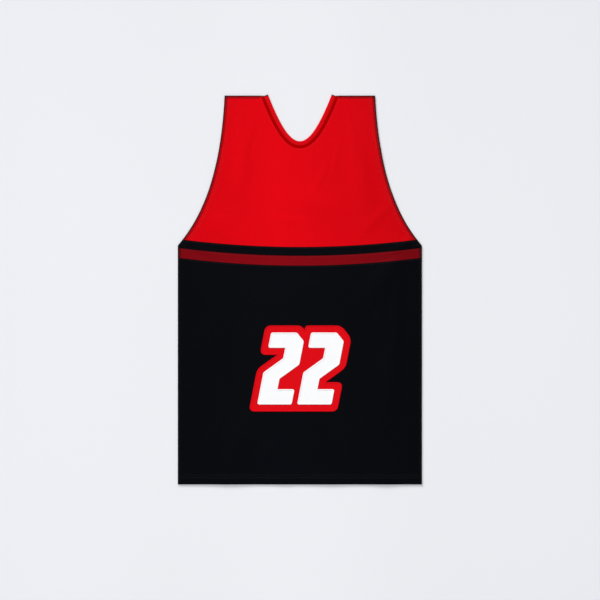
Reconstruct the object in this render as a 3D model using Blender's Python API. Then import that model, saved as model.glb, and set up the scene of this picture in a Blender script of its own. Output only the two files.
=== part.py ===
"""Lacrosse pinnie: a sleeveless practice shirt laid flat on a table, front side up.

Metres. +X runs across the chest, +Y towards the neck and +Z up from the table.
The origin is the middle of the shirt's footprint, on the table.

A place on a panel is given by how far OUT it is from the centre line and how far
DOWN it is from the shoulder line. The back panels lie flat on the table, and the
front panels lie on them with a few low folds.
"""
import math
from collections import namedtuple

import bmesh
import bpy

# Outline of the shirt
HALF_WIDTH = 0.240
LENGTH = 0.765                          # shoulder line to hem
SHOULDER_OUT = 0.148                    # outer end of the shoulder seam
UNDERARM_DOWN = 0.295                   # where the armhole meets the side seam
ARMHOLE_TOP_PULL = 0.1835               # reach of the curve's upper handle
ARMHOLE_TOP_LEAN = math.radians(2.8)
ARMHOLE_FOOT_PULL = 0.0522              # reach of the curve's lower handle
ARMHOLE_FOOT_LEAN = math.radians(39.6)

# Neck: a hyperbola, nearly straight above and rounded at the bottom
NECK_DEPTH = 0.0897
NECK_HALF_WIDTH = 0.0619
NECK_RADIUS = 0.0183                    # at the bottom of the neck
NECKBAND_WIDTH = 0.0084
TAPE_WIDTH = 0.0047

# Cross seams, at the centre line
YOKE_DOWN = 0.2980
CHEST_BAND_WIDTH = 0.0172
STRIPE_WIDTH = 0.0195
SEAM_RISE = 0.0156                      # how much higher a cross seam is at the sides

# Cloth
WALL = 0.0012
SEAM = 0.0003                           # gap left at seams and between layers

# Number on the front: two block figures that lean to the right, on a border
NUMBER_DOWN = 0.6062                    # foot of the figures
NUMBER_OUT = 0.003                      # middle of the figures, to the right of the shirt's
NUMBER_LEAN = math.tan(math.radians(11))
FIGURE_WIDTH = 0.0645
FIGURE_HEIGHT = 0.1385
FIGURE_STEP = 0.0786                    # from one figure to the next
FIGURE_BORDER = 0.0138
FIGURE_CHAMFER = 0.016
BAR = 0.027                             # level strokes of a figure
POST = 0.031                            # upright strokes of a figure
DIAGONAL_LOW = 0.050                    # where the slanting stroke leaves the lower post
DIAGONAL_HIGH = 0.078                   # where its underside reaches the figure's side

# Grid of the panels
COLUMNS = 13                            # cells from the centre line to the side
BACK_YOKE_COLUMNS = 3
NECK_ROWS = 12
YOKE_ROWS = 7
BODY_ROWS = 18
FOLD_STEPS = 4                          # facets round the fold of the neckband
FLAT_RIM = 0.050                        # folds die out this near the shirt's edge
NUMBER_CALM = 0.35                      # share of a fold's height left under the number
NUMBER_REACH = 0.135                    # folds are calm this near the number's middle

# Folds of the front: middle, length, half width, height, and lean from upright
Fold = namedtuple("Fold", "out down length half_width height lean")
FOLDS = (
    Fold(-0.112, 0.130, 0.230, 0.019, 0.0026, -7),
    Fold(0.121, 0.160, 0.250, 0.022, 0.0030, 9),
    Fold(0.030, 0.212, 0.170, 0.024, 0.0020, 68),
    Fold(-0.150, 0.262, 0.210, 0.023, 0.0028, 38),
    Fold(0.168, 0.352, 0.230, 0.024, 0.0032, -34),
    Fold(-0.162, 0.452, 0.270, 0.022, 0.0030, 12),
    Fold(0.176, 0.560, 0.300, 0.024, 0.0028, -8),
    Fold(-0.048, 0.398, 0.210, 0.025, 0.0018, 74),
    Fold(0.092, 0.690, 0.170, 0.021, 0.0022, 27),
    Fold(-0.118, 0.676, 0.190, 0.023, 0.0026, -24),
)


# ---- Outline --------------------------------------------------------------------

def armhole(share):
    """Point on the armhole, from the shoulder (0) to the underarm (1)."""
    start = (SHOULDER_OUT, 0.0)
    end = (HALF_WIDTH, UNDERARM_DOWN)
    upper = (start[0] + ARMHOLE_TOP_PULL * math.sin(ARMHOLE_TOP_LEAN),
             start[1] + ARMHOLE_TOP_PULL * math.cos(ARMHOLE_TOP_LEAN))
    lower = (end[0] - ARMHOLE_FOOT_PULL * math.sin(ARMHOLE_FOOT_LEAN),
             end[1] - ARMHOLE_FOOT_PULL * math.cos(ARMHOLE_FOOT_LEAN))
    rest = 1.0 - share
    weights = (rest ** 3, 3 * rest * rest * share, 3 * rest * share * share, share ** 3)
    return tuple(sum(w * p[axis] for w, p in zip(weights, (start, upper, lower, end)))
                 for axis in (0, 1))


def solve(function, low, high):
    """Where a rising function crosses zero."""
    for _ in range(60):
        middle = 0.5 * (low + high)
        if function(middle) < 0.0:
            low = middle
        else:
            high = middle
    return 0.5 * (low + high)


# The hyperbola's height above its lowest point is sqrt(a*a + (m*out)**2) - a
NECK_A = NECK_DEPTH ** 2 / (NECK_HALF_WIDTH ** 2 / NECK_RADIUS - 2 * NECK_DEPTH)
NECK_M = math.sqrt(NECK_A / NECK_RADIUS)


def neck_frame(turn):
    """Point of the neck edge, its direction and its outward side, as (out, down) pairs."""
    out = NECK_A / NECK_M * math.sinh(turn)
    down = NECK_DEPTH - NECK_A * (math.cosh(turn) - 1.0)
    run = NECK_A / NECK_M * math.cosh(turn)
    climb = NECK_A * math.sinh(turn)
    length = math.hypot(run, climb)
    return (out, down), (run / length, -climb / length), (climb / length, run / length)


def neck_point(turn, offset):
    """Point at a distance outside the neck edge."""
    edge, _, side = neck_frame(turn)
    return edge[0] + offset * side[0], edge[1] + offset * side[1]


def neck_turn_at(offset, down):
    """The turn at which an offset neck line is a given distance down."""
    return solve(lambda turn: down - neck_point(turn, offset)[1], 0.0, 1.5)


TAPE_OFFSET = NECKBAND_WIDTH + SEAM
YOKE_OFFSET = TAPE_OFFSET + TAPE_WIDTH + SEAM
FOLD_RADIUS = 0.5 * (WALL + SEAM)       # of the neckband's middle layer, over the shoulder
FOLD_REACH = FOLD_RADIUS + 0.5 * WALL
NECK_END = neck_turn_at(0.5 * YOKE_OFFSET, FOLD_REACH)
TIP_RISE = -neck_point(NECK_END, 0.0)[1] - FOLD_REACH * neck_frame(NECK_END)[1][1]
SHOULDER_Y = 0.5 * (LENGTH - TIP_RISE)


# ---- Folds ----------------------------------------------------------------------

def smooth(value):
    """0 below 0, 1 above 1, and an even ramp between."""
    value = min(1.0, max(0.0, value))
    return value * value * (3.0 - 2.0 * value)


def edge_ease(out, down):
    """1 well inside the shirt, easing to 0 at its edges, where the front lies down flat."""
    out = abs(out)
    level = min(max(down, 0.0), UNDERARM_DOWN)
    side_out = armhole(solve(lambda share: armhole(share)[1] - level, 0.0, 1.0))[0]
    root = math.hypot(NECK_A, NECK_M * out)
    neck_slope = NECK_M * NECK_M * out / root
    below_neck = (down - NECK_DEPTH + root - NECK_A) / math.hypot(1.0, neck_slope)
    ease = 1.0
    for distance in (side_out - out, below_neck, down, LENGTH - down):
        ease *= smooth(distance / FLAT_RIM)
    return ease


def fold_height(out, down):
    """How far the front lies above its resting height at a place."""
    height = 0.0
    for fold in FOLDS:
        lean = math.radians(fold.lean)
        right, below = out - fold.out, down - fold.down
        along = right * math.sin(lean) + below * math.cos(lean)
        across = right * math.cos(lean) - below * math.sin(lean)
        ends = smooth(1.0 - abs(2.0 * along / fold.length))
        height += fold.height * ends * math.exp(-(across / fold.half_width) ** 2)
    middle_down = NUMBER_DOWN - 0.5 * FIGURE_HEIGHT
    away = math.hypot(out - NUMBER_OUT, down - middle_down) / NUMBER_REACH
    calm = NUMBER_CALM + (1.0 - NUMBER_CALM) * smooth(2.0 * (away - 0.75))
    return height * calm * edge_ease(out, down)


def front_top(out, down):
    """Height of the front panels' upper side."""
    return 2.0 * WALL + SEAM + fold_height(out, down)


def back_top(out, down):
    """Height of the back panels' upper side."""
    return WALL


# ---- Panels ---------------------------------------------------------------------

Row = namedtuple("Row", "inner outer bow")


def cross_seam(down):
    """Row along a cross seam, which curves up towards the sides."""
    drop = solve(lambda share: armhole(share)[1] + SEAM_RISE
                 * (armhole(share)[0] / HALF_WIDTH) ** 2 - down, 0.0, 1.0)
    outer = armhole(drop)
    if down - SEAM_RISE >= UNDERARM_DOWN:
        outer = (HALF_WIDTH, down - SEAM_RISE)
    return Row((0.0, down), outer, SEAM_RISE * (outer[0] / HALF_WIDTH) ** 2)


def row_points(row, columns):
    """Places along a row, from its inner to its outer end."""
    places = []
    for column in range(columns + 1):
        share = column / columns
        out = row.inner[0] + share * (row.outer[0] - row.inner[0])
        down = row.inner[1] + share * (row.outer[1] - row.inner[1])
        places.append((out, down + row.bow * share * (1.0 - share)))
    return places


def between(first, last, steps):
    """Rows from first to last, evenly spaced along straight edges."""
    rows = []
    for step in range(steps + 1):
        share = step / steps
        inner = tuple(a + share * (b - a) for a, b in zip(first.inner, last.inner))
        outer = tuple(a + share * (b - a) for a, b in zip(first.outer, last.outer))
        rows.append(Row(inner, outer, first.bow + share * (last.bow - first.bow)))
    return rows


def yoke_rows():
    """Rows of the yoke: beside the neck down to its lowest point, then to the cross seam."""
    seam = cross_seam(YOKE_DOWN - 0.5 * SEAM)
    seam_share = solve(lambda share: armhole(share)[1] - seam.outer[1], 0.0, 1.0)
    total = NECK_ROWS + YOKE_ROWS
    top_turn = neck_turn_at(YOKE_OFFSET, 0.0)
    rows = []
    for number in range(total + 1):
        outer = armhole(seam_share * number / total)
        if number <= NECK_ROWS:
            inner = neck_point(top_turn * (1.0 - number / NECK_ROWS), YOKE_OFFSET)
            rows.append(Row(inner, outer, 0.0))
            continue
        share = (number - NECK_ROWS) / YOKE_ROWS
        inner = (0.0, rows[NECK_ROWS].inner[1] * (1.0 - share) + seam.inner[1] * share)
        rows.append(Row(inner, outer, seam.bow * share))
    return rows


def chest_band_rows():
    """Rows of the chest band: its seams, and one through the underarm corner."""
    upper = cross_seam(YOKE_DOWN + 0.5 * SEAM)
    corner = cross_seam(UNDERARM_DOWN + SEAM_RISE)
    lower = cross_seam(YOKE_DOWN + CHEST_BAND_WIDTH - 0.5 * SEAM)
    return [upper, corner, lower]


def stripe_rows():
    """Rows of the stripe: its two seams."""
    top = YOKE_DOWN + CHEST_BAND_WIDTH
    return [cross_seam(top + 0.5 * SEAM), cross_seam(top + STRIPE_WIDTH - 0.5 * SEAM)]


def body_rows(steps):
    """Rows of the lower body, from the stripe to the straight hem."""
    top = cross_seam(YOKE_DOWN + CHEST_BAND_WIDTH + STRIPE_WIDTH + 0.5 * SEAM)
    hem = Row((0.0, LENGTH), (HALF_WIDTH, LENGTH), 0.0)
    return between(top, hem, steps)


def skin(rows, columns, height):
    """The upper side of a panel: the right half's rows, and the same to the left."""
    mesh = bmesh.new()
    for side in (1, -1):
        lines = []
        for row in rows:
            places = row_points(row, columns)
            lines.append([mesh.verts.new((side * out, SHOULDER_Y - down, height(side * out, down)))
                          for out, down in places])
        for upper, lower in zip(lines, lines[1:]):
            for column in range(columns):
                corners = [upper[column], lower[column], lower[column + 1], upper[column + 1]]
                mesh.faces.new(corners[::side])
    bmesh.ops.remove_doubles(mesh, verts=mesh.verts, dist=1e-6)
    bmesh.ops.triangulate(mesh, faces=mesh.faces)
    return mesh


def wall(name, mesh, material):
    """Give a skin its thickness downwards and make it an object."""
    grown = bmesh.ops.extrude_face_region(mesh, geom=mesh.faces[:])
    for item in grown["geom"]:
        if isinstance(item, bmesh.types.BMVert):
            item.co.z -= WALL
    return add_object(name, mesh, material)


def add_object(name, mesh, material):
    """Close a bmesh into a named object with its material."""
    bmesh.ops.triangulate(mesh, faces=mesh.faces)
    bmesh.ops.recalc_face_normals(mesh, faces=mesh.faces)
    data = bpy.data.meshes.new(name)
    mesh.to_mesh(data)
    mesh.free()
    data.materials.append(material)
    piece = bpy.data.objects.new(name, data)
    bpy.context.scene.collection.objects.link(piece)
    return piece


# ---- Neckband and tape ----------------------------------------------------------

def neck_strip(name, offset, width, ends, material):
    """A strip sewn round the neck: along the front, over each shoulder and along the back.

    Ends are the turns at which its inner and outer edges roll over the shoulder. A station
    is (share, roll): its share of the way there, from -1 on the left to 1 on the right,
    and how far it has rolled, from 0 on the front to 180 degrees on the back.
    """
    shares = [step / NECK_ROWS for step in range(-NECK_ROWS, NECK_ROWS + 1)]
    rolls = [math.pi * step / FOLD_STEPS for step in range(1, FOLD_STEPS)]
    stations = [(share, 0.0) for share in shares]
    stations += [(1.0, roll) for roll in rolls]
    stations += [(share, math.pi) for share in reversed(shares)]
    stations += [(-1.0, math.pi + roll) for roll in rolls]

    mesh = bmesh.new()
    rings = []
    for share, roll in stations:
        ring = []
        for across, end, up in ((0.0, ends[0], -0.5), (width, ends[1], -0.5),
                                (width, ends[1], 0.5), (0.0, ends[0], 0.5)):
            edge, ahead, side = neck_frame(share * end)
            lift = FOLD_RADIUS + up * WALL
            forward = lift * math.sin(roll)
            out = edge[0] + side[0] * (offset + across) + ahead[0] * forward
            down = edge[1] + side[1] * (offset + across) + ahead[1] * forward
            height = WALL + 0.5 * SEAM + lift * math.cos(roll)
            ring.append(mesh.verts.new((out, SHOULDER_Y - down, height)))
        rings.append(ring)
    for ring, following in zip(rings, rings[1:] + rings[:1]):
        for corner in range(4):
            after = (corner + 1) % 4
            mesh.faces.new((ring[corner], ring[after], following[after], following[corner]))
    return add_object(name, mesh, material)


# ---- Number ---------------------------------------------------------------------

def figure_two():
    """Outline of a block figure two, from its lower left corner, as (across, up) pairs."""
    half = [
        (0.0, 0.0),
        (FIGURE_WIDTH, 0.0),
        (FIGURE_WIDTH, BAR),
        (POST, BAR),
        (POST, DIAGONAL_LOW),
        (FIGURE_WIDTH, DIAGONAL_HIGH),
    ]
    turned = [(FIGURE_WIDTH - across, FIGURE_HEIGHT - up) for across, up in half[1:]]
    corner = [(FIGURE_WIDTH, FIGURE_HEIGHT - FIGURE_CHAMFER),
              (FIGURE_WIDTH - FIGURE_CHAMFER, FIGURE_HEIGHT)]
    return half + corner + turned


def grow(outline, by):
    """The outline with every side moved out, corners kept sharp."""
    grown = []
    count = len(outline)
    for number, here in enumerate(outline):
        before, after = outline[number - 1], outline[(number + 1) % count]
        first = (here[0] - before[0], here[1] - before[1])
        second = (after[0] - here[0], after[1] - here[1])
        first_length, second_length = math.hypot(*first), math.hypot(*second)
        first_side = (first[1] / first_length, -first[0] / first_length)
        second_side = (second[1] / second_length, -second[0] / second_length)
        spread = 1.0 + first_side[0] * second_side[0] + first_side[1] * second_side[1]
        grown.append((here[0] + by * (first_side[0] + second_side[0]) / spread,
                      here[1] + by * (first_side[1] + second_side[1]) / spread))
    return grown


def border_outline():
    """Outline of the border: the outer sides of both grown figures, joined between them.

    Between the figures the top dips where the left one's chamfer meets the right one's
    upright side. A grown figure's corners run from its foot, up its right side to the
    chamfer, and then down its left side.
    """
    foot, *right_side, chamfer_end, top_left, under_bar, inner, joint, flank = grow(
        figure_two(), FIGURE_BORDER)
    left_side = [chamfer_end, top_left, under_bar, inner, joint, flank]
    stepped = [(across + FIGURE_STEP, up) for across, up in right_side + left_side[:2]]
    across_dip = stepped[-1][0]
    dip = (across_dip, chamfer_end[1] - (across_dip - chamfer_end[0]))
    return [foot] + stepped + [dip] + left_side


def placed(outline, shift):
    """Figure outline as x, y places on the shirt, leaning and centred on the number."""
    lean_shift = 0.5 * NUMBER_LEAN * FIGURE_HEIGHT
    start = NUMBER_OUT - 0.5 * (FIGURE_WIDTH + FIGURE_STEP) - lean_shift + shift
    return [(start + across + NUMBER_LEAN * up, SHOULDER_Y - NUMBER_DOWN + up)
            for across, up in outline]


def is_inside(place, outline):
    """Whether a place is inside an outline: it crosses an odd number of sides."""
    inside = False
    for start, end in zip(outline, outline[1:] + outline[:1]):
        if (start[1] > place.y) != (end[1] > place.y):
            share = (place.y - start[1]) / (end[1] - start[1])
            if place.x < start[0] + share * (end[0] - start[0]):
                inside = not inside
    return inside


def applied_piece(name, panel_skin, outline, lift, material):
    """A piece that lies on a panel: the panel's own faces inside an outline, moved up."""
    mesh = panel_skin.copy()
    for start, end in zip(outline, outline[1:] + outline[:1]):
        low = [min(pair) - SEAM for pair in zip(start, end)]
        high = [max(pair) + SEAM for pair in zip(start, end)]
        faces = [face for face in mesh.faces
                 if all(max(vert.co[axis] for vert in face.verts) > low[axis]
                        and min(vert.co[axis] for vert in face.verts) < high[axis]
                        for axis in (0, 1))]
        edges = {edge for face in faces for edge in face.edges}
        verts = {vert for face in faces for vert in face.verts}
        bmesh.ops.bisect_plane(mesh, geom=list(verts) + list(edges) + faces, dist=1e-6,
                               plane_co=(start[0], start[1], 0.0),
                               plane_no=(end[1] - start[1], start[0] - end[0], 0.0))
    outside = [face for face in mesh.faces
               if not is_inside(face.calc_center_median(), outline)]
    bmesh.ops.delete(mesh, geom=outside, context="FACES")
    bmesh.ops.dissolve_limit(mesh, angle_limit=1e-4, verts=mesh.verts, edges=mesh.edges)
    bmesh.ops.triangulate(mesh, faces=mesh.faces)
    bmesh.ops.translate(mesh, verts=mesh.verts, vec=(0.0, 0.0, lift + WALL))
    return wall(name, mesh, material)


# ---- Materials ------------------------------------------------------------------

def cloth(name, colour, roughness):
    """A plain cloth of one colour."""
    material = bpy.data.materials.new(name)
    material.use_nodes = True
    shader = material.node_tree.nodes["Principled BSDF"]
    shader.inputs["Base Color"].default_value = (*colour, 1.0)
    shader.inputs["Roughness"].default_value = roughness
    shader.inputs["Metallic"].default_value = 0.0
    return material


# ---- The shirt ------------------------------------------------------------------

for leftover in list(bpy.data.objects):
    bpy.data.objects.remove(leftover, do_unlink=True)

red_knit = cloth("red_knit", (0.737, 0.0015, 0.0065), 0.62)
black_knit = cloth("black_knit", (0.0037, 0.0040, 0.0056), 0.60)
dark_red_knit = cloth("dark_red_knit", (0.242, 0.003, 0.006), 0.62)
red_rib = cloth("red_rib", (0.690, 0.0017, 0.0070), 0.68)
dark_red_tape = cloth("dark_red_tape", (0.376, 0.0008, 0.0010), 0.55)
red_twill = cloth("red_twill", (0.737, 0.0015, 0.0065), 0.50)
white_twill = cloth("white_twill", (0.900, 0.900, 0.900), 0.50)

wall("back_yoke", skin(yoke_rows(), BACK_YOKE_COLUMNS, back_top), red_knit)
wall("back_chest_band", skin(chest_band_rows(), COLUMNS, back_top), black_knit)
wall("back_stripe", skin(stripe_rows(), COLUMNS, back_top), dark_red_knit)
wall("back_body", skin(body_rows(1), COLUMNS, back_top), black_knit)

front_body_skin = skin(body_rows(BODY_ROWS), COLUMNS, front_top)
figure_left = placed(figure_two(), 0.0)
figure_right = placed(figure_two(), FIGURE_STEP)
border = placed(border_outline(), 0.0)
applied_piece("number_backing", front_body_skin, border, SEAM, red_twill)
applied_piece("numeral_left", front_body_skin, figure_left, 2 * SEAM + WALL, white_twill)
applied_piece("numeral_right", front_body_skin, figure_right, 2 * SEAM + WALL, white_twill)

wall("front_yoke", skin(yoke_rows(), COLUMNS, front_top), red_knit)
wall("front_chest_band", skin(chest_band_rows(), COLUMNS, front_top), black_knit)
wall("front_stripe", skin(stripe_rows(), COLUMNS, front_top), dark_red_knit)
wall("front_body", front_body_skin, black_knit)

# The neckband is cut square to the neck edge, and the tape ends on the shoulder line
tape_ends = [neck_turn_at(TAPE_OFFSET + across, FOLD_REACH) for across in (0.0, TAPE_WIDTH)]
neck_strip("neckband", 0.0, NECKBAND_WIDTH, (NECK_END, NECK_END), red_rib)
neck_strip("neck_tape", TAPE_OFFSET, TAPE_WIDTH, tape_ends, dark_red_tape)
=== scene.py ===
"""Lacrosse pinnie, laid flat with its front up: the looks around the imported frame.

Metres. +X runs across the chest, +Y towards the neck and +Z up from the table. A place
on the cloth is given by how far OUT it is from the centre line, less than 0 on the left,
and how far DOWN it is from the shoulder line.
"""
import math
from collections import namedtuple

import bmesh
import bpy
import numpy as np
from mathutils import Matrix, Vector
from mathutils.geometry import delaunay_2d_cdt


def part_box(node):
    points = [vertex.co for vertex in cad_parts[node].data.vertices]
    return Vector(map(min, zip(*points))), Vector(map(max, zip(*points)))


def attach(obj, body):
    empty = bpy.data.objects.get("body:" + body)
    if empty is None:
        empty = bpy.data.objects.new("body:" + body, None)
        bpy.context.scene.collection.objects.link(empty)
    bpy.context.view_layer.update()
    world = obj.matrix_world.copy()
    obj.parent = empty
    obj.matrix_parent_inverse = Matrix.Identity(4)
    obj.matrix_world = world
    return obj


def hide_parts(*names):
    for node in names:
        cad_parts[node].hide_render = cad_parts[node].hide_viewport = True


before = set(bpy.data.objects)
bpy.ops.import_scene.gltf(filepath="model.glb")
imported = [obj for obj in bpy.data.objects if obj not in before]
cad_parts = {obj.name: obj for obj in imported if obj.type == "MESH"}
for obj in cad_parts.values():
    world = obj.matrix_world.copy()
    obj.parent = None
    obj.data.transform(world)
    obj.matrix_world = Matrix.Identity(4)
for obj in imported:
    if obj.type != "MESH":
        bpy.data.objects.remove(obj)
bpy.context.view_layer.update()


# ---- Back panels ----
# The back is four panels of close-knit polyester: a red yoke, a black chest band, a
# dark red stripe and a black body, overlocked along cross seams that curve up to the
# sides. It lies on the table, creased here and there, its armholes and hem turned in.

HALF_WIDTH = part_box("back_body")[1].x
SHOULDER_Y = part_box("back_yoke")[1].y
LENGTH = SHOULDER_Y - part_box("back_body")[0].y

SHOULDER_OUT = 0.148  # outer end of the shoulder seam
UNDERARM_DOWN = 0.295  # where the armhole meets the side
ARMHOLE_TOP = (0.1835, math.radians(2.8))  # reach and lean of its curve's two handles
ARMHOLE_FOOT = (0.0522, math.radians(39.6))

NECK_DEPTH = 0.0897
NECK_HALF_WIDTH = 0.0619
NECK_RADIUS = 0.0183  # at the bottom of the neck
NECKBAND_WIDTH = 0.0084
TAPE_WIDTH = 0.0047
SEAM = 0.0003  # the frame's gap at seams
YOKE_OFFSET = NECKBAND_WIDTH + TAPE_WIDTH + 2 * SEAM

CHEST_BAND_HEIGHT = 0.0172
STRIPE_HEIGHT = 0.0195
YOKE_DOWN = 0.2980  # cross seams, at the centre line
STRIPE_DOWN = YOKE_DOWN + CHEST_BAND_HEIGHT
BODY_DOWN = STRIPE_DOWN + STRIPE_HEIGHT
SEAM_RISE = 0.0156  # how much higher they are at the sides

CLOTH = 0.00062  # one layer of the knit
BACK_REST = 0.00012  # the back's outer side, above its stitches
SEAM_ROLL = 0.0006  # how far an edge rolls into its seam
HEM_TURN = 0.020  # cloth turned in at the hem and at the armholes
ARMHOLE_TURN = 0.013
SIDE_TURN = 0.008  # seam allowance inside the side seams
TURN_FADE = 0.001  # over which a turned-in layer ends
SEWN = 0.0022  # from a cross seam to its row of topstitching
HEM_ROWS = (0.0135, 0.0185)  # from the hem to its rows of stitches
ARMHOLE_ROWS = (0.0076, 0.0116)
GRID = 0.0032  # cells of the cloth's mesh
BAND_GRID = 0.0016  # rows of cells in the two narrow bands
CREASE_ANGLE = math.radians(50)  # edges sharper than this stay sharp
FINE = np.array([0.0, 0.00006, 0.0002, 0.00042, 0.0008, 0.0017])  # beside an edge

NECK_A = NECK_DEPTH ** 2 / (NECK_HALF_WIDTH ** 2 / NECK_RADIUS - 2 * NECK_DEPTH)
NECK_M = math.sqrt(NECK_A / NECK_RADIUS)


def neck_side(turns):
    """The outward side of the neck edge, which is a hyperbola, at each turn."""
    side = np.stack([NECK_M * np.sinh(turns), np.cosh(turns)], axis=-1)
    return side / np.hypot(side[..., :1], side[..., 1:])


def neck_line(offset, turns):
    """Places at a distance outside the neck edge, as (out, down)."""
    edge = np.stack([NECK_A / NECK_M * np.sinh(turns),
                     NECK_DEPTH - NECK_A * (np.cosh(turns) - 1)], axis=-1)
    return edge + np.asarray(offset)[..., None] * neck_side(turns)


def neck_turn_at(offset, down):
    """The turn at which an offset neck line is a given distance down."""
    turns = np.linspace(1.2, 0.0, 2000)  # from above the shoulders
    return float(np.interp(down, neck_line(offset, turns)[:, 1], turns))


def armhole_line():
    """Points down the armhole, from the shoulder to the underarm."""
    start, end = np.array([SHOULDER_OUT, 0.0]), np.array([HALF_WIDTH, UNDERARM_DOWN])
    top, foot = [reach * np.array([math.sin(lean), math.cos(lean)])
                 for reach, lean in (ARMHOLE_TOP, ARMHOLE_FOOT)]
    share = np.linspace(0.0, 1.0, 301)[:, None]
    rest = 1.0 - share
    return (rest ** 3 * start + 3 * rest ** 2 * share * (start + top)
            + 3 * rest * share ** 2 * (end - foot) + share ** 3 * end)


def seam_down(level, out):
    """How far down a cross seam is, from its level at the centre line."""
    return level - SEAM_RISE * (out / HALF_WIDTH) ** 2


def level_of(places):
    """The level, at the centre line, of a cross seam through each place."""
    return places[..., 1] + SEAM_RISE * (places[..., 0] / HALF_WIDTH) ** 2


ARMHOLE = armhole_line()
NECKLINE = neck_line(YOKE_OFFSET, np.linspace(neck_turn_at(YOKE_OFFSET, 0.0), 0.0, 160))
SHOULDER = np.array([[NECKLINE[0, 0], 0.0], [SHOULDER_OUT, 0.0]])
SIDE = np.array([[HALF_WIDTH, UNDERARM_DOWN], [HALF_WIDTH, LENGTH]])
HEM = np.array([[0.0, LENGTH], [HALF_WIDTH, LENGTH]])
RIM_LEVEL = level_of(ARMHOLE)


def seam_end(level):
    """How far out a cross seam ends, on the armhole or on the side."""
    return float(np.interp(level, RIM_LEVEL, ARMHOLE[:, 0]))


def seam_line(level):
    """Points along a cross seam, from its end to the centre line."""
    out = np.linspace(seam_end(level), 0.0, 81)
    return np.stack([out, seam_down(level, out)], axis=1)


def marks(line):
    """How far along a line each of its points is."""
    return np.concatenate([[0.0], np.cumsum(np.hypot(*np.diff(line, axis=0).T))])


def walk(line, distances):
    """Points at given distances along a line."""
    return np.stack([np.interp(distances, marks(line), line[:, axis]) for axis in (0, 1)],
                    axis=1)


def spaced(length, step, fine_end=True):
    """Distances from 0 to a length, closest together at its ends."""
    last = length - FINE[-1] if fine_end else length
    middle = np.linspace(FINE[-1], last, max(2, round((last - FINE[-1]) / step) + 1))
    tail = length - FINE[-2::-1] if fine_end else []
    return np.concatenate([FINE[:-1], middle, tail])


def nearest(line, places):
    """Distance from each place to a line."""
    best = np.full(places.shape[:-1], np.inf)
    for start, end in zip(line[:-1], line[1:]):
        run = end - start
        share = np.clip((places - start) @ run / max(run @ run, 1e-18), 0.0, 1.0)
        best = np.minimum(best, np.linalg.norm(places - start - share[..., None] * run, axis=-1))
    return best


def ease(value):
    """0 below 0, 1 above 1, and an even ramp between."""
    value = np.clip(value, 0.0, 1.0)
    return value * value * (3.0 - 2.0 * value)


def roll(distance, radius):
    """How far a rounded edge falls away, at a distance inside the edge."""
    short = np.clip(radius - distance, 0.0, radius)
    return radius - np.sqrt(radius ** 2 - short ** 2)


def yoke_places():
    """Grid of the yoke. Its lines run from the neck to the armhole and the cross seam, and
    follow each other from the right shoulder, round under the neck, to the left one."""
    corner = seam_end(YOKE_DOWN)
    arm = np.vstack([ARMHOLE[RIM_LEVEL < YOKE_DOWN], [[corner, seam_down(YOKE_DOWN, corner)]]])
    foot = seam_line(YOKE_DOWN)
    outer = np.vstack([walk(arm, spaced(marks(arm)[-1], GRID)),
                       walk(foot, spaced(marks(foot)[-1], GRID, fine_end=False))[1:]])
    even = np.linspace(FINE[-1], marks(NECKLINE)[-1], len(outer) - len(FINE) + 1)
    inner = walk(NECKLINE, np.concatenate([FINE[:-1], even]))
    length = np.hypot(*(outer - inner).T)[:, None]
    share = np.linspace(0.0, 1.0, round(float(length.max()) / GRID))
    middle = FINE[-1] + share * (length - 2 * FINE[-1])
    ends = np.repeat(FINE[None, :-1], len(outer), axis=0)
    steps = np.hstack([ends, middle, length - ends[:, ::-1]])[..., None]
    right = inner[:, None] + (outer - inner)[:, None] * steps / length[..., None]
    return np.vstack([right, right[-2::-1] * (-1, 1)])


def cross_places(levels, bottom=None):
    """Grid of a panel between cross seams, or down to the straight hem at the bottom."""
    rows = []
    for level in levels:
        row_end = seam_end(level)
        out = spaced(2 * row_end, GRID) - row_end
        if rows:
            out = np.interp(np.linspace(0, 1, len(rows[0])), np.linspace(0, 1, len(out)), out)
        rise = 1.0 if bottom is None else (bottom - level) / (bottom - levels[0])
        rows.append(np.stack([out, level - rise * (level - seam_down(level, out))], axis=1))
    return np.array(rows)


def around(grid):
    """The outer edge of a grid, as a loop."""
    return np.concatenate([grid[0], grid[1:, -1], grid[-1, -2::-1], grid[-2:0:-1, 0]])


def points_at(places, height):
    """Points over places at a height."""
    return np.stack([places[..., 0], SHOULDER_Y - places[..., 1], height], axis=-1)


def numbered(points):
    """The number of each point in an array of them."""
    return np.arange(points[..., 0].size).reshape(points.shape[:-1])


def shell(places, outer, inner):
    """Points and faces of a closed shell over a grid of places, between two heights."""
    points = np.stack([points_at(places, outer), points_at(places, inner)]).reshape(-1, 3)
    number = numbered(places)
    cells = np.stack([number[:-1, :-1], number[:-1, 1:], number[1:, 1:], number[1:, :-1]],
                     axis=-1).reshape(-1, 4)
    edge = around(number)
    after = np.roll(edge, -1)
    below = outer.size
    sides = np.stack([edge, edge + below, after + below, after], axis=-1)
    return points, np.vstack([cells, cells[:, ::-1] + below, sides]).tolist()


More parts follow.
